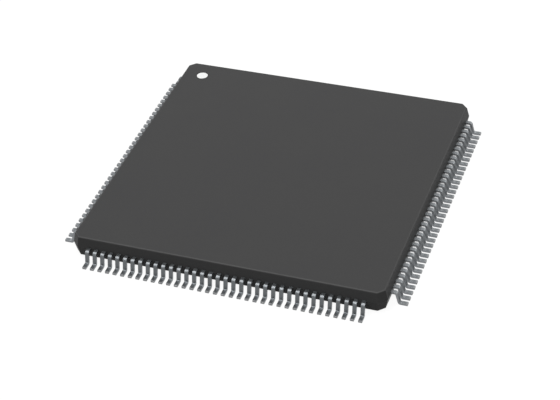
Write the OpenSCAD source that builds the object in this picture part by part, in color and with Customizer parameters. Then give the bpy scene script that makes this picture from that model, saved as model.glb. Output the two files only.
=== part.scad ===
// Low profile quad flat package with gull wing leads on all four sides.
// The origin is at the middle of the body, on the plane that the feet stand on.

/* [Moulded body] */
// Side of the square body at its parting plane
body_side = 20; // [18:0.5:28]
// Thickness of the body from its bottom face to its top face
body_thick = 1.4; // [1.3:0.05:2]
// Height of the bottom face above the seating plane
standoff = 0.1; // [0.05:0.01:0.2]
// Draft of the walls above the parting plane, in degrees
upper_draft = 12; // [5:1:16]
// Draft of the walls below the parting plane, in degrees
lower_draft = 12; // [5:1:16]
// Leg of the chamfer on each vertical corner, at the parting plane
corner_chamfer = 0.47; // [0.3:0.01:0.8]
// Radius of the fillet round the top face
top_fillet = 0.1; // [0.05:0.01:0.2]
// Radius of the fillet round the bottom face
bottom_fillet = 0.05; // [0.03:0.01:0.15]

/* [Pin one mark] */
// Diameter of the round recess over pin one
mark_d = 0.75; // [0.5:0.05:2]
// Distance of its centre from the two nearest edges of the body, at the parting plane
mark_inset = 1.5; // [1.2:0.1:3]
// Depth of the recess
mark_depth = 0.05; // [0.03:0.01:0.15]
// Thickness of the white layer in the recess
mark_thick = 0.03; // [0.01:0.01:0.03]

/* [Ejector marks] */
// Diameter of each shallow round mark on the underside
ejector_d = 1.6; // [1:0.1:2.5]
// Depth of each mark
ejector_depth = 0.03; // [0.02:0.01:0.06]
// Distance of each mark's centre from the two nearest edges of the body
ejector_inset = 3; // [2:0.5:6]

/* [Leads] */
// Distance between the middles of neighbouring leads
lead_pitch = 0.5; // [0.4:0.05:0.8]
// Least distance from a corner of the body to the middle of the first lead
corner_clear = 1.25; // [1:0.05:2]
// Width of a lead
lead_w = 0.24; // [0.16:0.01:0.27]
// Thickness of the lead frame
lead_t = 0.15; // [0.1:0.01:0.2]
// How far a lead reaches from the body to the tip of its foot
lead_reach = 1; // [0.9:0.05:1.2]
// Length of the flat sole of a foot
foot_flat = 0.42; // [0.3:0.02:0.5]
// Lean of the leg away from upright, in degrees
leg_lean = 13; // [5:1:16]
// Inside radius of the bends at the shoulder and the heel
bend_r = 0.05; // [0.03:0.01:0.08]

/* [Lead frame inside the body] */
// Length of the straight stretch of a lead inside the wall
anchor_len = 0.5; // [0.3:0.1:1]
// Length of the straight tip of a lead
tip_len = 0.5; // [0.4:0.1:0.8]
// Share of the tip pitch that is metal
tip_fill = 0.5; // [0.4:0.05:0.6]
// Gap between the paddle and the lead tips
tip_gap = 0.8; // [0.5:0.1:1.2]
// Distance from the corner of the ring of tips to the middle of the first tip
tip_corner_clear = 0.85; // [0.6:0.05:1.2]
// How far the paddle lies below the leads
paddle_drop = 0.2; // [0.1:0.02:0.24]
// Width of the paddle around the die
paddle_margin = 0.6; // [0.3:0.1:1]
// Width of a tie bar
tie_w = 0.3; // [0.2:0.05:0.4]
// Length of the slope on a tie bar, seen from above
tie_slope = 0.4; // [0.3:0.05:0.6]
// Thickness of moulding compound over the end of a tie bar
tie_cover = 0.3; // [0.1:0.05:0.6]

/* [Die and bond wires] */
// Side of the square die
die_side = 6.4; // [4:0.2:8]
// Thickness of the die
die_t = 0.28; // [0.15:0.01:0.3]
// Thickness of the layer that holds the die
attach_t = 0.03; // [0.02:0.01:0.05]
// How far that layer spreads past the die
attach_spread = 0.1; // [0.05:0.05:0.2]
// Thickness of a bond wire, drawn square
wire_t = 0.03; // [0.02:0.005:0.04]
// Height of a wire's crest above the die
loop_h = 0.14; // [0.08:0.01:0.16]
// Length of the level stretch at a wire's crest
crest_len = 0.4; // [0.3:0.05:0.6]
// Length of a wire's end that lies on its lead
stitch_len = 0.1; // [0.06:0.02:0.12]
// Distance from the end of the lead tip to the end of the wire
stitch_inset = 0.2; // [0.15:0.05:0.3]
// Distance of the bond pads from the edge of the die
pad_inset = 0.15; // [0.1:0.05:0.25]
// Distance from the corner of the square of pads to the first pad
pad_corner_clear = 0.25; // [0.15:0.05:0.5]

/* [Hidden] */
// Flat steps in each rounded stretch
arc_steps = 5;
// Each side's leads and wires are shared between this many nodes
groups = 3;
// Each side's name, and the turn that brings it from the east side
SIDES = [["west", 180], ["south", 270], ["east", 0], ["north", 90]];
// Keeps a whole number of pitches whole when it is rounded down
rounding = 0.001;
// Facets of a true circle
round_fn = 48;

body_half = body_side / 2;
diagonal_half = (body_side - corner_chamfer) / sqrt(2);
top_z = standoff + body_thick;
parting_z = standoff + body_thick / 2;
lead_top = parting_z + lead_t / 2;
lead_bottom = parting_z - lead_t / 2;
mark_place = body_half - mark_inset;
ejector_place = body_half - ejector_inset;

leads_per_side = floor((body_side - 2 * corner_clear) / lead_pitch + rounding) + 1;
foot_end = body_half + lead_reach;
heel_x = foot_end - foot_flat;
bend_mid_r = bend_r + lead_t / 2;
leg_len = (lead_bottom - 2 * bend_mid_r * (1 - sin(leg_lean))) / cos(leg_lean);
shoulder_x = heel_x - 2 * bend_mid_r * cos(leg_lean) - leg_len * sin(leg_lean);

paddle_half = die_side / 2 + paddle_margin;
paddle_bottom = lead_bottom - paddle_drop;
paddle_top = paddle_bottom + lead_t;
die_bottom = paddle_top + attach_t;
die_top = die_bottom + die_t;
attach_side = die_side + 2 * attach_spread;
tip_end = paddle_half + tip_gap;
tip_pitch = 2 * (tip_end - tip_corner_clear) / (leads_per_side - 1);
tip_w = tip_pitch * tip_fill;
pad_row = die_side / 2 - pad_inset;
pad_pitch = 2 * (pad_row - pad_corner_clear) / (leads_per_side - 1);

function arc(centre, r, from, to) = [
    for (k = [0:arc_steps])
        let (a = from + (to - from) * k / arc_steps)
            centre + r * [cos(a), sin(a)]
];
function flipped(points) = [for (k = [len(points) - 1:-1:0]) [-points[k].x, points[k].y]];

// Middle of the fillet between a wall with this draft and the top or bottom face
function fillet_x(half, draft, r) = half - body_thick / 2 * tan(draft) - r * (1 - sin(draft)) / cos(draft);

// Right half of the body's section, which is widest at the parting plane
function wall(half) =
    let (
        low = [fillet_x(half, lower_draft, bottom_fillet), standoff + bottom_fillet],
        high = [fillet_x(half, upper_draft, top_fillet), top_z - top_fillet]
    )
    concat(
        arc(low, bottom_fillet, -90, -lower_draft),
        [[half, parting_z]],
        arc(high, top_fillet, upper_draft, 90)
    );

// A bar with the body's section, which is longer than the body
module wall_bar(half) {
    rotate([90, 0, 0])
        linear_extrude(height = 2 * body_side, center = true)
            polygon(concat(wall(half), flipped(wall(half))));
}

// Four crossed bars leave the walls of the sides and of the chamfered corners
module body_form() {
    intersection_for (turn = [0:45:135])
        rotate([0, 0, turn])
            wall_bar(turn % 90 == 0 ? body_half : diagonal_half);
}

function from_middle(i) = i - (leads_per_side - 1) / 2;
function first_in(group) = floor((group - 1) * leads_per_side / groups);
function numbers_in(group) = [first_in(group):first_in(group + 1) - 1];

// A lead from above, from its tip inside the body to the end of its foot
module lead_plan(i) {
    side_y = from_middle(i) * lead_pitch;
    tip_y = from_middle(i) * tip_pitch;
    polygon([
        [tip_end, tip_y - tip_w / 2],
        [tip_end + tip_len, tip_y - tip_w / 2],
        [body_half - anchor_len, side_y - lead_w / 2],
        [foot_end, side_y - lead_w / 2],
        [foot_end, side_y + lead_w / 2],
        [body_half - anchor_len, side_y + lead_w / 2],
        [tip_end + tip_len, tip_y + tip_w / 2],
        [tip_end, tip_y + tip_w / 2]
    ]);
}

// A lead from the side: level in the body, then the shoulder, the leg, the heel and the foot
module lead_side() {
    shoulder = [shoulder_x, lead_bottom - bend_r];
    heel = [heel_x, lead_t + bend_r];
    polygon(concat(
        [[tip_end, lead_top]],
        arc(shoulder, bend_r + lead_t, 90, leg_lean),
        arc(heel, bend_r, 180 + leg_lean, 270),
        [[foot_end, lead_t], [foot_end, 0]],
        arc(heel, bend_r + lead_t, 270, 180 + leg_lean),
        arc(shoulder, bend_r, leg_lean, 90),
        [[tip_end, lead_bottom]]
    ));
}

// The lead on the east side with this number, counted from the south
module lead(i) {
    intersection() {
        linear_extrude(height = top_z) lead_plan(i);
        rotate([90, 0, 0])
            linear_extrude(height = body_side, center = true) lead_side();
    }
}

// The bond wire of that lead: up from its pad, along its crest, and down onto the lead's tip.
// Its space in the compound also reaches a little way into the die and the lead.
module wire(i, bite = 0) {
    pad = [pad_row, from_middle(i) * pad_pitch];
    end = [tip_end + stitch_inset, from_middle(i) * tip_pitch];
    run = norm(end - pad);
    crest_z = die_top + loop_h;
    translate(pad)
        rotate([90, 0, atan2(end.y - pad.y, end.x - pad.x)])
            linear_extrude(height = wire_t, center = true)
                polygon([
                    [0, die_top - bite],
                    [0, crest_z],
                    [crest_len, crest_z],
                    [run - stitch_len, lead_top + wire_t],
                    [run, lead_top + wire_t],
                    [run, lead_top - bite],
                    [run - stitch_len, lead_top - bite],
                    [run - stitch_len, lead_top],
                    [crest_len, crest_z - wire_t],
                    [wire_t, crest_z - wire_t],
                    [wire_t, die_top - bite]
                ]);
}

module leads(turn, group) {
    color("lightgray")
        rotate([0, 0, turn])
            for (i = numbers_in(group)) lead(i);
}

module wires(turn, group, bite = 0) {
    color("gold")
        rotate([0, 0, turn])
            for (i = numbers_in(group)) wire(i, bite);
}

// A square plate in the middle of the package
module plate(side, bottom, top) {
    translate([-side / 2, -side / 2, bottom])
        cube([side, side, top - bottom]);
}

// A bar that climbs from a corner of the paddle to the leads' level and runs on to a corner of the body
module tie_bar() {
    corner = paddle_half * sqrt(2);
    end = diagonal_half - tie_cover;
    rotate([90, 0, 0])
        linear_extrude(height = tie_w, center = true)
            polygon([
                [paddle_half, paddle_bottom],
                [corner, paddle_bottom],
                [corner + tie_slope, lead_bottom],
                [end, lead_bottom],
                [end, lead_top],
                [corner + tie_slope, lead_top],
                [corner, paddle_top],
                [paddle_half, paddle_top]
            ]);
}

module die_paddle() {
    color("peru") {
        plate(2 * paddle_half, paddle_bottom, paddle_top);
        for (turn = [45:90:315])
            rotate([0, 0, turn]) tie_bar();
    }
}

module die_attach() {
    color("silver") plate(attach_side, paddle_top, die_bottom);
}

module silicon_die() {
    color("slategray") plate(die_side, die_bottom, die_top);
}

module pin_one_mark() {
    color("white")
        translate([-mark_place, mark_place, top_z - mark_depth])
            cylinder(h = mark_thick, d = mark_d, $fn = round_fn);
}

// The compound fills all the space round the lead frame, the die and the wires
module mould_body() {
    color("dimgray")
        difference() {
            body_form();
            for (side = SIDES, group = [1:groups]) {
                leads(side[1], group);
                wires(side[1], group, wire_t);
            }
            die_paddle();
            plate(attach_side, paddle_bottom, die_bottom);
            plate(die_side, paddle_bottom, die_top);
            translate([-mark_place, mark_place, top_z - mark_depth])
                cylinder(h = body_thick, d = mark_d, $fn = round_fn);
            for (x = [-ejector_place, ejector_place], y = [-ejector_place, ejector_place])
                translate([x, y, 0])
                    cylinder(h = standoff + ejector_depth, d = ejector_d, $fn = round_fn);
        }
}

mould_body();
pin_one_mark();
die_paddle();
die_attach();
silicon_die();
for (side = SIDES, group = [1:groups])
    leads(side[1], group);
for (side = SIDES, group = [1:groups])
    wires(side[1], group);
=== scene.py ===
import math

import bpy
import numpy as np
from mathutils import Matrix, Vector


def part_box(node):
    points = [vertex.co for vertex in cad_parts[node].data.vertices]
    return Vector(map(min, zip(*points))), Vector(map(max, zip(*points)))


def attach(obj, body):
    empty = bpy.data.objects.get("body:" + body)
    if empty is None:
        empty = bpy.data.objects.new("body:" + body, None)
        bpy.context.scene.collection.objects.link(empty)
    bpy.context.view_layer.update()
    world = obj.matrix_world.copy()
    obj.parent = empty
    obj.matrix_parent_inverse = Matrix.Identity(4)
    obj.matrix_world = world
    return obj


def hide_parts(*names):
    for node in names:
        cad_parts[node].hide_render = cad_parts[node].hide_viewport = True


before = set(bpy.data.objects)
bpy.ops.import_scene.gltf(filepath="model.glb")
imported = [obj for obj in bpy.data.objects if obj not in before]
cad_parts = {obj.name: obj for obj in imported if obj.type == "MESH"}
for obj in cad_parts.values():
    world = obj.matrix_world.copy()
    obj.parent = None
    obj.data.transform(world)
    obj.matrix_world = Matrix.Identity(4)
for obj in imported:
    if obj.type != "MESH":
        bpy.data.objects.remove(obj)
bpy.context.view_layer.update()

BODY = "root"
MM = 0.001

# The camera that was fitted to the photograph. It looks at the middle of the package, on the
# plane of its feet. Angles are in degrees, lengths in millimetres and the focal length in pixels.
PHOTO_WIDTH = 560
CAMERA_AZIMUTH = 21.518
CAMERA_ELEVATION = 38.005
CAMERA_ROLL = -3.742
CAMERA_FOCAL = 1701.561
CAMERA_DISTANCE = 108.802
CAMERA_RIGHT = 0.022
CAMERA_UP = -0.895

# The camera's sensor, in millimetres, and its clip planes, in metres, for an object 22 mm wide
SENSOR_WIDTH = 36.0
CLIP_NEAR = 0.005
CLIP_FAR = 10.0

# The leads, in millimetres and degrees, as the CAD nodes have them. Each side has the turn that
# brings it from the east side.
SIDES = {"west": 180, "south": 270, "east": 0, "north": 90}
GROUPS = (1, 2, 3)
LEADS_IN_GROUP = 12
LEADS_PER_SIDE = LEADS_IN_GROUP * len(GROUPS)
LEAD_PITCH = 0.5
LEAD_WIDTH = 0.24
LEAD_THICKNESS = 0.15
FOOT_FLAT = 0.42
LEG_LEAN = 13.0
BEND_RADIUS = 0.05
ANCHOR_LENGTH = 0.5
TIP_END = 4.6
TIP_LENGTH = 0.5
TIP_CORNER_CLEAR = 0.85
TIP_FILL = 0.5
TIP_PITCH = 2 * (TIP_END - TIP_CORNER_CLEAR) / (LEADS_PER_SIDE - 1)
TIP_WIDTH = TIP_PITCH * TIP_FILL

# Measured on the CAD nodes, in millimetres from the origin: how far out the body's wall and the
# end of a foot are, how high the middle of the strip is where it leaves the body, and how far out
# the heel's bend ends
BODY_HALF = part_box("mould_body")[1].x / MM
FOOT_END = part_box("leads_east_2")[1].x / MM
LEAD_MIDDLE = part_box("leads_east_2")[1].z / MM - LEAD_THICKNESS / 2
HEEL_END = FOOT_END - FOOT_FLAT

# What the dressed leads add: rounded edges and smoother bends
EDGE_RADIUS = 0.014
EDGE_STEPS = 3
BEND_STEPS = 12
SECTION_POINTS = 4 * (EDGE_STEPS + 1)
UPWARDS = (0.0, 1.0)

# Area lamps that shine on the origin. Angles are in degrees and lengths in metres. At level 1 a
# lamp lights a white surface that faces it to white. The key lights the top and the east side.
# The gleam shows in the bends of the south leads, the side lamp in those of the east leads, and
# the rear lamp in the level faces.
LAMP_DISTANCE = 1.2
LAMPS = {
    "key": {"azimuth": 72.0, "elevation": 70.0, "width": 1.15, "length": 1.15, "level": 0.5},
    "gleam": {"azimuth": 298.0, "elevation": 68.0, "width": 0.3, "length": 1.5, "level": 0.58},
    "side": {"azimuth": 145.0, "elevation": 12.0, "width": 0.6, "length": 0.6, "level": 0.12},
    "rear": {"azimuth": 176.0, "elevation": 30.0, "width": 2.0, "length": 0.9, "level": 0.31},
}

# The surround. The world is white where it is seen and lights at the ambient level. The floor is
# seen as its glow and what the lamps add to the shaded grey, and bounces light as the bounce grey.
# Its size is in metres.
WORLD_LEVEL = 1.0
AMBIENT_LEVEL = 0.13
FLOOR_SIZE = 0.6
FLOOR_BOUNCE = 0.34
FLOOR_GLOW = 0.93
FLOOR_SHADED = 0.1

# The painted patch of shade under the package, in millimetres. Each of its edges fades between
# two places: outwards from the east and west walls, and northwards from the south wall at the
# front and from the north wall at the back. It deepens from the first depth, where the front edge
# ends, to the second at its deepest place, which is given from the north wall too.
SHADE_SIDES = (-0.05, 0.4)
SHADE_FRONT = (1.7, 2.1)
SHADE_BACK = (-1.8, -0.6)
SHADE_DEPTH = (0.12, 0.5)
SHADE_DEEPEST = -2.0

# Nearly all the values of a noise pattern lie between these
NOISE_LOW = 0.3
NOISE_HIGH = 0.7

# The sockets that a Mix node uses for colours
MIX_FACTOR = 0
MIX_FIRST = 6
MIX_SECOND = 7
MIX_RESULT = 2

# Colours, in linear light
COMPOUND_DARK = (0.053, 0.053, 0.054)
COMPOUND_PALE = (0.055, 0.055, 0.055)
COMPOUND_GRAIN = (0.064, 0.064, 0.063)
COMPOUND_FILLER = (0.1, 0.1, 0.097)
# The top edge's lighter colour: wear, and along the front a painted highlight
COMPOUND_RUBBED_AND_HIGHLIT = (0.096, 0.096, 0.096)
TIN_DARK = (0.114, 0.122, 0.128)
TIN_PALE = (0.128, 0.137, 0.143)
TIN_CRYSTAL = (0.168, 0.178, 0.186)
# Painted highlights on the bends and painted light on the flanks
TIN_PAINTED_LIGHT = (0.215, 0.225, 0.235)
# The ends of the feet: partly bare sheared metal, partly a painted highlight
TIN_SHEARED_AND_HIGHLIT = (0.215, 0.22, 0.225)
INK_DARK = (0.85, 0.855, 0.85)
INK_PALE = (0.91, 0.91, 0.91)
COPPER_DARK = (0.82, 0.46, 0.3)
COPPER_PALE = (0.93, 0.6, 0.43)
PASTE_PALE = (0.62, 0.62, 0.6)
PASTE_DARK = (0.36, 0.36, 0.35)
SILICON_BLUE = (0.1, 0.12, 0.2)
SILICON_VIOLET = (0.24, 0.2, 0.26)
SILICON_GREY = (0.14, 0.15, 0.18)
GOLD_DARK = (0.95, 0.68, 0.3)
GOLD_PALE = (1.0, 0.78, 0.4)

# The body's edges are shaded as if rounded by this radius, in millimetres
COMPOUND_ROUNDING = 0.05
BEVEL_SAMPLES = 6

# The lighter edge round the top face, by the Z and Y of the way that a point faces: where it
# starts above the walls, where it ends at the top face, and where it passes from the front to
# the other sides, which keep a share of it as wear. Along the front it is wear and a painted
# highlight. Rubbing also makes it smoother.
EDGE_ABOVE_WALL = (0.5, 0.8)
EDGE_BELOW_TOP = (0.992, 0.999)
EDGE_OFF_FRONT = (-0.35, -0.05)
OTHER_SIDES_WEAR = 0.35
RUBBED_SMOOTHER = 0.14
FILLER_SHARE = 0.12

# Where the tin is painted lighter, in millimetres outwards from the end of the heel or of the
# foot, and by how much: painted highlights on the bends, and painted light on the cut flanks,
# which lightens the shade between the leads. The ends of the feet are lighter partly as bare
# sheared metal and partly as a painted highlight. The flanks are told by how far they face
# along their side of the package.
SHOULDER_FADES = (-0.24, -0.17)
HEEL_STARTS = (-0.03, 0.02)
HEEL_FADES = (0.06, 0.16)
SHEARED_AND_HIGHLIT_STARTS = (-0.13, -0.01)
FLANK_FACING = (0.6, 0.9)
SHOULDER_HIGHLIGHT = 0.3
HEEL_HIGHLIGHT = 0.95
FLANK_PAINTED_LIGHT = 0.95


def add_object(name, data):
    thing = bpy.data.objects.new(name, data)
    bpy.context.scene.collection.objects.link(thing)
    return thing


def direction_from(azimuth, elevation):
    """The direction of that azimuth, which is 0 at the front, and elevation, both in radians."""
    return Vector((
        math.sin(azimuth) * math.cos(elevation),
        -math.cos(azimuth) * math.cos(elevation),
        math.sin(elevation),
    ))


def set_place(thing, place, right, up, back):
    """Puts a camera or lamp at a place, with its own X, Y and Z axes along right, up and back."""
    turn = Matrix((right, up, back)).transposed()
    thing.matrix_world = Matrix.Translation(place) @ turn.to_4x4()


def add_camera():
    """The photograph's camera."""
    azimuth, elevation, roll = (
        math.radians(angle) for angle in (CAMERA_AZIMUTH, CAMERA_ELEVATION, CAMERA_ROLL)
    )
    back = direction_from(azimuth, elevation)
    level = Vector((math.cos(azimuth), math.sin(azimuth), 0))
    upright = back.cross(level)
    right = math.cos(roll) * level + math.sin(roll) * upright
    up = math.cos(roll) * upright - math.sin(roll) * level
    data = bpy.data.cameras.new("camera")
    data.sensor_fit = "HORIZONTAL"
    data.sensor_width = SENSOR_WIDTH
    data.lens = CAMERA_FOCAL * SENSOR_WIDTH / PHOTO_WIDTH
    data.clip_start = CLIP_NEAR
    data.clip_end = CLIP_FAR
    camera = add_object("camera", data)
    place = MM * (CAMERA_DISTANCE * back + CAMERA_RIGHT * right + CAMERA_UP * up)
    set_place(camera, place, right, up, back)
    bpy.context.scene.camera = camera


def add_lamp(name, azimuth, elevation, width, length, level):
    """A lamp whose length lies as near to the Y axis as it can."""
    direction = direction_from(math.radians(azimuth), math.radians(elevation))
    along = Vector((0, 1, 0))
    along = (along - along.dot(direction) * direction).normalized()
    across = along.cross(direction)
    data = bpy.data.lights.new(name, "AREA")
    data.shape = "RECTANGLE"
    data.size = width
    data.size_y = length
    data.energy = level * (math.pi * LAMP_DISTANCE) ** 2
    set_place(add_object(name, data), LAMP_DISTANCE * direction, across, along, direction)


def grey(level):
    return (level, level, level, 1)


def zone(start, edges):
    """The edges of a zone in metres, from a place and their distances from it in millimetres."""
    return [(start + edge) * MM for edge in edges]


class Nodes:
    """Builds a node tree, with pattern sizes in millimetres."""

    def __init__(self, tree):
        self.tree = tree
        self.place = None

    def add(self, kind, inputs=None, **settings):
        node = self.tree.nodes.new(kind)
        for name, value in settings.items():
            setattr(node, name, value)
        for name, value in (inputs or {}).items():
            self.set(node.inputs[name], value)
        return node

    def set(self, socket, value):
        if isinstance(value, bpy.types.NodeSocket):
            self.tree.links.new(value, socket)
        else:
            socket.default_value = value

    def position(self):
        if self.place is None:
            self.place = self.add("ShaderNodeTexCoord").outputs["Object"]
        return self.place

    def parts(self, vector):
        """The X, Y and Z of a vector."""
        return self.add("ShaderNodeSeparateXYZ", {0: vector}).outputs

    def facing(self):
        """The X, Y and Z of the way that a point faces."""
        return self.parts(self.add("ShaderNodeNewGeometry").outputs["Normal"])

    def reach(self):
        """How far a point is from the middle of the part along X or Y, whichever is farther."""
        place = self.parts(self.position())
        across = self.math("ABSOLUTE", place["X"])
        return self.math("MAXIMUM", across, self.math("ABSOLUTE", place["Y"]))

    def flank(self):
        """How far a point of a lead faces along its side of the package.

        Only the cut flanks of a lead face that way.
        """
        place = self.parts(self.position())
        facing = self.facing()
        across = self.math("ABSOLUTE", place["X"])
        along = self.math("ABSOLUTE", place["Y"])
        east_or_west = self.math("GREATER_THAN", across, along)
        south_or_north = self.math("SUBTRACT", 1.0, east_or_west)
        by_y = self.math("MULTIPLY", east_or_west, self.math("ABSOLUTE", facing["Y"]))
        by_x = self.math("MULTIPLY", south_or_north, self.math("ABSOLUTE", facing["X"]))
        return self.math("ADD", by_x, by_y)

    def noise(self, size, detail, stretch=None):
        place = self.position()
        if stretch:
            place = self.add("ShaderNodeMapping", {"Vector": place, "Scale": stretch}).outputs[0]
        inputs = {"Vector": place, "Scale": 1 / (size * MM), "Detail": detail}
        return self.add("ShaderNodeTexNoise", inputs).outputs["Fac"]

    def cells(self, size, **settings):
        inputs = {"Vector": self.position(), "Scale": 1 / (size * MM)}
        return self.add("ShaderNodeTexVoronoi", inputs, **settings).outputs

    def math(self, operation, a, b=0.0):
        node = self.add("ShaderNodeMath", operation=operation)
        self.set(node.inputs[0], a)
        self.set(node.inputs[1], b)
        return node.outputs[0]

    def between(self, value, low, high, start=NOISE_LOW, end=NOISE_HIGH):
        """Low where the value is at start, high where it is at end, and evenly in between."""
        inputs = {
            "Value": value,
            "From Min": start,
            "From Max": end,
            "To Min": low,
            "To Max": high,
        }
        return self.add("ShaderNodeMapRange", inputs).outputs["Result"]

    def blend(self, factor, first, second):
        """The first colour where the factor is 0 and the second where it is 1."""
        node = self.add("ShaderNodeMix", data_type="RGBA")
        self.set(node.inputs[MIX_FACTOR], factor)
        for place, colour in ((MIX_FIRST, first), (MIX_SECOND, second)):
            self.set(node.inputs[place], (*colour, 1) if isinstance(colour, tuple) else colour)
        return node.outputs[MIX_RESULT]

    def bump(self, height, depth, normal=None):
        """Relief whose full height is depth, in millimetres."""
        inputs = {"Height": height, "Distance": depth * MM, "Strength": 1.0}
        if normal is not None:
            inputs["Normal"] = normal
        return self.add("ShaderNodeBump", inputs).outputs["Normal"]

    def seen(self):
        """1 for rays from the camera, off gloss and through glass, and 0 for the rest."""
        path = self.add("ShaderNodeLightPath").outputs
        direct = self.math("MAXIMUM", path["Is Camera Ray"], path["Is Glossy Ray"])
        return self.math("MAXIMUM", direct, path["Is Transmission Ray"])


def new_look(name, values):
    """A material, the builder of its nodes, and its shader, whose own sockets get the values."""
    material = bpy.data.materials.new(name)
    material.use_nodes = True
    nodes = Nodes(material.node_tree)
    shader = material.node_tree.nodes["Principled BSDF"]
    for socket, value in values.items():
        shader.inputs[socket].default_value = value
    return material, nodes, shader


def rubbed_and_highlit_edge(nodes):
    """How far the top edge is lighter: fully at the front, as wear and a painted highlight, less
    elsewhere, as wear.
    """
    facing = nodes.facing()
    above = nodes.between(facing["Z"], 0.0, 1.0, *EDGE_ABOVE_WALL)
    below = nodes.between(facing["Z"], 1.0, 0.0, *EDGE_BELOW_TOP)
    share = nodes.between(facing["Y"], 1.0, OTHER_SIDES_WEAR, *EDGE_OFF_FRONT)
    return nodes.math("MULTIPLY", nodes.math("MULTIPLY", above, below), share)


def moulding_compound():
    """Matt black epoxy with a fine sparked grain, grey filler specks and a lighter top edge: wear
    all round, and a painted highlight along the front.
    """
    material, nodes, shader = new_look("moulding_compound_look", {"Specular IOR Level": 0.04})
    grain = nodes.noise(size=0.09, detail=4.0)
    cloud = nodes.noise(size=3.0, detail=3.0)
    filler = nodes.cells(size=0.12)["Distance"]
    speck = nodes.between(filler, low=1.0, high=0.0, start=0.06, end=0.16)
    plain = nodes.blend(nodes.between(cloud, low=0.0, high=1.0), COMPOUND_DARK, COMPOUND_PALE)
    worked = nodes.blend(nodes.between(grain, low=0.0, high=0.35), plain, COMPOUND_GRAIN)
    speckled = nodes.blend(nodes.math("MULTIPLY", speck, FILLER_SHARE), worked, COMPOUND_FILLER)
    # The lighter top edge is wear all round and a painted highlight along the front
    highlit = rubbed_and_highlit_edge(nodes)
    nodes.set(shader.inputs["Base Color"], nodes.blend(highlit, speckled, COMPOUND_RUBBED_AND_HIGHLIT))
    roughness = nodes.between(grain, low=0.36, high=0.44)
    smoother = nodes.math("MULTIPLY", highlit, RUBBED_SMOOTHER)
    nodes.set(shader.inputs["Roughness"], nodes.math("SUBTRACT", roughness, smoother))
    rounding = {"Radius": COMPOUND_ROUNDING * MM}
    edges = nodes.add("ShaderNodeBevel", rounding, samples=BEVEL_SAMPLES).outputs[0]
    nodes.set(shader.inputs["Normal"], nodes.bump(grain, depth=0.004, normal=edges))
    return material


def painted_tin_light(nodes, reach):
    """Painted highlights on the bends of the shoulder and the heel, and painted light on the
    flanks.
    """
    shoulder = nodes.between(reach, SHOULDER_HIGHLIGHT, 0.0, *zone(HEEL_END, SHOULDER_FADES))
    heel_starts = nodes.between(reach, 0.0, HEEL_HIGHLIGHT, *zone(HEEL_END, HEEL_STARTS))
    heel_fades = nodes.between(reach, HEEL_HIGHLIGHT, 0.0, *zone(HEEL_END, HEEL_FADES))
    heel = nodes.math("MINIMUM", heel_starts, heel_fades)
    bends = nodes.math("MAXIMUM", shoulder, heel)
    flanks = nodes.between(nodes.flank(), 0.0, 1.0, *FLANK_FACING)
    return nodes.math("MAXIMUM", bends, nodes.math("MULTIPLY", flanks, FLANK_PAINTED_LIGHT))


def tin_plating():
    """Matt tin: grey crystals, a little lighter or darker from lead to lead.

    Painted highlights make it lighter on the bends, and painted light on the cut flanks. The
    ends of the feet are lighter too, partly as bare sheared metal and partly as a painted
    highlight.
    """
    values = {"Specular IOR Level": 0.5, "Metallic": 1.0}
    material, nodes, shader = new_look("tin_plating_look", values)
    crystals = nodes.noise(size=0.02, detail=3.0)
    smear = nodes.noise(size=0.12, detail=3.0)
    island = nodes.add("ShaderNodeNewGeometry").outputs["Random Per Island"]
    plain = nodes.blend(island, TIN_DARK, TIN_PALE)
    tin = nodes.blend(nodes.between(crystals, low=0.0, high=0.4), plain, TIN_CRYSTAL)
    reach = nodes.reach()
    # Painted highlights on the bends and painted light on the flanks
    highlit = nodes.blend(painted_tin_light(nodes, reach), tin, TIN_PAINTED_LIGHT)
    # The ends of the feet are lighter, partly as bare sheared metal and partly as a painted
    # highlight
    sheared_and_highlit = nodes.between(reach, 0.0, 1.0, *zone(FOOT_END, SHEARED_AND_HIGHLIT_STARTS))
    nodes.set(shader.inputs["Base Color"], nodes.blend(sheared_and_highlit, highlit, TIN_SHEARED_AND_HIGHLIT))
    nodes.set(shader.inputs["Roughness"], nodes.between(smear, low=0.34, high=0.42))
    nodes.set(shader.inputs["Normal"], nodes.bump(crystals, depth=0.001))
    return material


def mark_paint():
    """White marking ink with slightly greyer patches."""
    values = {"Specular IOR Level": 0.3, "Roughness": 0.6}
    material, nodes, shader = new_look("mark_paint_look", values)
    patches = nodes.noise(size=0.15, detail=3.0)
    nodes.set(shader.inputs["Base Color"], nodes.blend(patches, INK_DARK, INK_PALE))
    nodes.set(shader.inputs["Normal"], nodes.bump(patches, depth=0.003))
    return material


def copper_alloy():
    """Rolled copper strip, with its fine lines along the roll."""
    material, nodes, shader = new_look("copper_alloy_look", {"Metallic": 1.0})
    lines = nodes.noise(size=0.03, detail=4.0, stretch=(1, 0.04, 1))
    nodes.set(shader.inputs["Base Color"], nodes.blend(lines, COPPER_DARK, COPPER_PALE))
    nodes.set(shader.inputs["Roughness"], nodes.between(lines, low=0.25, high=0.42))
    nodes.set(shader.inputs["Normal"], nodes.bump(lines, depth=0.001))
    return material


def silver_paste():
    """Cured die attach paste, grey with silver flakes."""
    material, nodes, shader = new_look("silver_paste_look", {"Metallic": 0.4})
    flakes = nodes.cells(size=0.03)["Distance"]
    nodes.set(shader.inputs["Base Color"], nodes.blend(flakes, PASTE_PALE, PASTE_DARK))
    nodes.set(shader.inputs["Roughness"], nodes.between(flakes, low=0.35, high=0.6))
    nodes.set(shader.inputs["Normal"], nodes.bump(flakes, depth=0.003))
    return material


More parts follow.
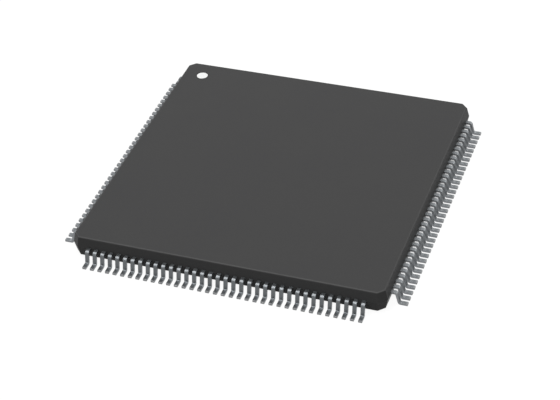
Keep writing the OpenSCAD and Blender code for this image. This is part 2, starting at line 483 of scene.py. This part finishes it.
def silicon():
    """A polished die with the faint colours of its thin layers, block by block."""
    values = {"Metallic": 0.3, "Specular IOR Level": 0.8}
    material, nodes, shader = new_look("silicon_look", values)
    blocks = nodes.cells(size=0.6, distance="CHEBYCHEV")["Color"]
    tint = nodes.blend(blocks, SILICON_BLUE, SILICON_VIOLET)
    fine = nodes.noise(size=0.02, detail=2.0)
    nodes.set(shader.inputs["Base Color"], nodes.blend(fine, tint, SILICON_GREY))
    nodes.set(shader.inputs["Roughness"], nodes.between(fine, low=0.12, high=0.24))
    return material


def gold_wire():
    """Drawn gold wire."""
    material, nodes, shader = new_look("gold_wire_look", {"Metallic": 1.0})
    lines = nodes.noise(size=0.01, detail=2.0)
    nodes.set(shader.inputs["Base Color"], nodes.blend(lines, GOLD_DARK, GOLD_PALE))
    nodes.set(shader.inputs["Roughness"], nodes.between(lines, low=0.18, high=0.3))
    return material


def package_shade(nodes):
    """The share of the floor's white that the package takes away.

    It is a painted patch of shade under the package that deepens from front to back.
    """
    place = nodes.parts(nodes.position())
    across = nodes.math("ABSOLUTE", place["X"])
    inside = nodes.between(across, 1.0, 0.0, *zone(BODY_HALF, SHADE_SIDES))
    front_edges = zone(-BODY_HALF, SHADE_FRONT)
    front = nodes.between(place["Y"], 0.0, 1.0, *front_edges)
    back = nodes.between(place["Y"], 1.0, 0.0, *zone(BODY_HALF, SHADE_BACK))
    deepest = (BODY_HALF + SHADE_DEEPEST) * MM
    depth = nodes.between(place["Y"], *SHADE_DEPTH, start=front_edges[1], end=deepest)
    deep = nodes.math("MULTIPLY", inside, depth)
    return nodes.math("MULTIPLY", deep, nodes.math("MINIMUM", front, back))


def floor_paper():
    """A floor that is seen as white and that lights the object softly from below.

    The white has the lamps' faint shadows and the painted patch of shade under the package.
    """
    material = bpy.data.materials.new("floor_paper")
    material.use_nodes = True
    material.node_tree.nodes.clear()
    nodes = Nodes(material.node_tree)
    bounce = nodes.add("ShaderNodeBsdfDiffuse", {"Color": grey(FLOOR_BOUNCE)}).outputs[0]
    shaded = nodes.add("ShaderNodeBsdfDiffuse", {"Color": grey(FLOOR_SHADED)}).outputs[0]
    lit = nodes.math("SUBTRACT", 1.0, package_shade(nodes))
    strength = nodes.math("MULTIPLY", lit, FLOOR_GLOW)
    glow = nodes.add("ShaderNodeEmission", {"Strength": strength}).outputs[0]
    both = nodes.add("ShaderNodeAddShader", {0: glow, 1: shaded}).outputs[0]
    mixed = nodes.add("ShaderNodeMixShader", {0: nodes.seen(), 1: bounce, 2: both}).outputs[0]
    nodes.add("ShaderNodeOutputMaterial", {"Surface": mixed})
    return material


def add_world():
    """White where it is seen, and dim where it only lights."""
    world = bpy.data.worlds.new("world")
    bpy.context.scene.world = world
    world.use_nodes = True
    world.node_tree.nodes.clear()
    nodes = Nodes(world.node_tree)
    white, dim = (
        nodes.add("ShaderNodeBackground", {"Color": grey(1), "Strength": level}).outputs[0]
        for level in (WORLD_LEVEL, AMBIENT_LEVEL)
    )
    mixed = nodes.add("ShaderNodeMixShader", {0: nodes.seen(), 1: dim, 2: white}).outputs[0]
    nodes.add("ShaderNodeOutputWorld", {"Surface": mixed})


def add_floor():
    half = FLOOR_SIZE / 2
    mesh = bpy.data.meshes.new("floor")
    corners = [(-half, -half, 0), (half, -half, 0), (half, half, 0), (-half, half, 0)]
    mesh.from_pydata(corners, [], [(0, 1, 2, 3)])
    mesh.materials.append(floor_paper())
    floor = add_object("floor", mesh)


def lead_bends():
    """The steps of the shoulder's bend and then of the heel's, from the body outwards.

    The first list has the x and z of the middle of the strip and the second the way that its
    top face is turned.
    """
    radius = BEND_RADIUS + LEAD_THICKNESS / 2
    lean = math.radians(LEG_LEAN)
    bottom = LEAD_MIDDLE - LEAD_THICKNESS / 2
    leg = (bottom - 2 * radius * (1 - math.sin(lean))) / math.cos(lean)
    shoulder_x = HEEL_END - 2 * radius * math.cos(lean) - leg * math.sin(lean)
    turns = np.linspace(math.pi / 2, lean, BEND_STEPS + 1)
    up = np.column_stack([np.cos(turns), np.sin(turns)])
    shoulder = np.array([shoulder_x, bottom - BEND_RADIUS]) + radius * up
    heel = np.array([HEEL_END, LEAD_THICKNESS + BEND_RADIUS]) - radius * up[::-1]
    return np.vstack([shoulder, heel]), np.vstack([up, up[::-1]])


def lead_rows(number):
    """The sections of one lead of the east side, from its tip in the body to the end of its foot.

    Each has the x and z of its middle, the way that its top is turned, its y, its width, how
    far it is drawn in, and how far its edge faces the end of the foot.
    """
    from_middle = number - (LEADS_PER_SIDE - 1) / 2
    side_y = from_middle * LEAD_PITCH
    tip_y = from_middle * TIP_PITCH
    inner = (
        (TIP_END, tip_y, TIP_WIDTH),
        (TIP_END + TIP_LENGTH, tip_y, TIP_WIDTH),
        (BODY_HALF - ANCHOR_LENGTH, side_y, LEAD_WIDTH),
    )
    rows = [((x, LEAD_MIDDLE), UPWARDS, y, width, 0.0, 0.0) for x, y, width in inner]
    for place, top in zip(*lead_bends()):
        rows.append((place, top, side_y, LEAD_WIDTH, 0.0, 0.0))
    for turn in np.radians(np.linspace(0, 90, EDGE_STEPS + 1)):
        ahead = math.sin(turn)
        place = (FOOT_END - EDGE_RADIUS * (1 - ahead), LEAD_THICKNESS / 2)
        inset = EDGE_RADIUS * (1 - math.cos(turn))
        rows.append((place, UPWARDS, side_y, LEAD_WIDTH, inset, ahead))
    return rows


def section(width, inset):
    """The points of a lead's rounded section, and the way that each faces."""
    points, facing = [], []
    for corner in range(4):
        turns = np.radians(90 * corner + np.linspace(0, 90, EDGE_STEPS + 1))
        out = np.column_stack([np.cos(turns), np.sin(turns)])
        middle = np.sign(out.sum(axis=0)) * (np.array([width, LEAD_THICKNESS]) / 2 - EDGE_RADIUS)
        points.append(middle + (EDGE_RADIUS - inset) * out)
        facing.append(out)
    return np.vstack(points), np.vstack(facing)


def tube_faces(rows):
    """The faces round a tube of that many sections, and then those over its two ends."""
    faces = []
    for row in range(rows - 1):
        near = row * SECTION_POINTS
        far = near + SECTION_POINTS
        for point in range(SECTION_POINTS):
            beside = (point + 1) % SECTION_POINTS
            faces.append((near + point, near + beside, far + beside, far + point))
    last = (rows - 1) * SECTION_POINTS
    faces.append(tuple(range(SECTION_POINTS))[::-1])
    faces.append(tuple(range(last, last + SECTION_POINTS)))
    return faces


def lead_mesh(number):
    """Vertices, vertex normals and faces of one lead of the east side, in millimetres."""
    rows = lead_rows(number)
    vertices, normals = [], []
    for (x, z), (top_x, top_z), y, width, inset, ahead in rows:
        outwards = math.sqrt(1 - ahead ** 2)
        for (across, above), (facing_y, facing_top) in zip(*section(width, inset)):
            vertices.append((x + above * top_x, y + across, z + above * top_z))
            up = facing_top * outwards
            normal = (up * top_x + ahead * top_z, facing_y * outwards, up * top_z - ahead * top_x)
            normals.append(normal)
    return np.array(vertices), np.array(normals), tube_faces(len(rows))


def group_mesh(name, group, turn):
    """The leads of one group, turned from the east side to their own."""
    vertices, normals, faces = [], [], []
    for number in range((group - 1) * LEADS_IN_GROUP, group * LEADS_IN_GROUP):
        points, facing, sides = lead_mesh(number)
        start = sum(len(v) for v in vertices)
        vertices.append(points @ turn.T * MM)
        normals.append(facing @ turn.T)
        faces += [tuple(start + k for k in side) for side in sides]
    mesh = bpy.data.meshes.new(name)
    mesh.from_pydata(np.vstack(vertices).tolist(), [], faces)
    mesh.update()
    mesh.shade_smooth()
    mesh.normals_split_custom_set_from_vertices(np.vstack(normals).tolist())
    return mesh


def dress_leads(material):
    """Replaces each CAD node of leads by the same leads with smooth bends and rounded edges."""
    for side, angle in SIDES.items():
        turn = np.array(Matrix.Rotation(math.radians(angle), 3, "Z")).round()
        for group in GROUPS:
            name = f"leads_{side}_{group}"
            mesh = group_mesh("tinned_" + name, group, turn)
            mesh.materials.append(material)
            piece = add_object("tinned_" + name, mesh)
            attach(piece, BODY)
            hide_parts(name)


def dress_node(name, material):
    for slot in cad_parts[name].material_slots:
        slot.link = "OBJECT"
        slot.material = material


bpy.context.scene.view_settings.view_transform = "Standard"
add_camera()
add_world()
add_floor()
for name, lamp in LAMPS.items():
    add_lamp(name, **lamp)
dress_leads(tin_plating())
dress_node("mould_body", moulding_compound())
dress_node("pin_one_mark", mark_paint())
dress_node("die_paddle", copper_alloy())
dress_node("die_attach", silver_paste())
dress_node("silicon_die", silicon())
gold = gold_wire()
for side in SIDES:
    for group in GROUPS:
        dress_node(f"wires_{side}_{group}", gold)
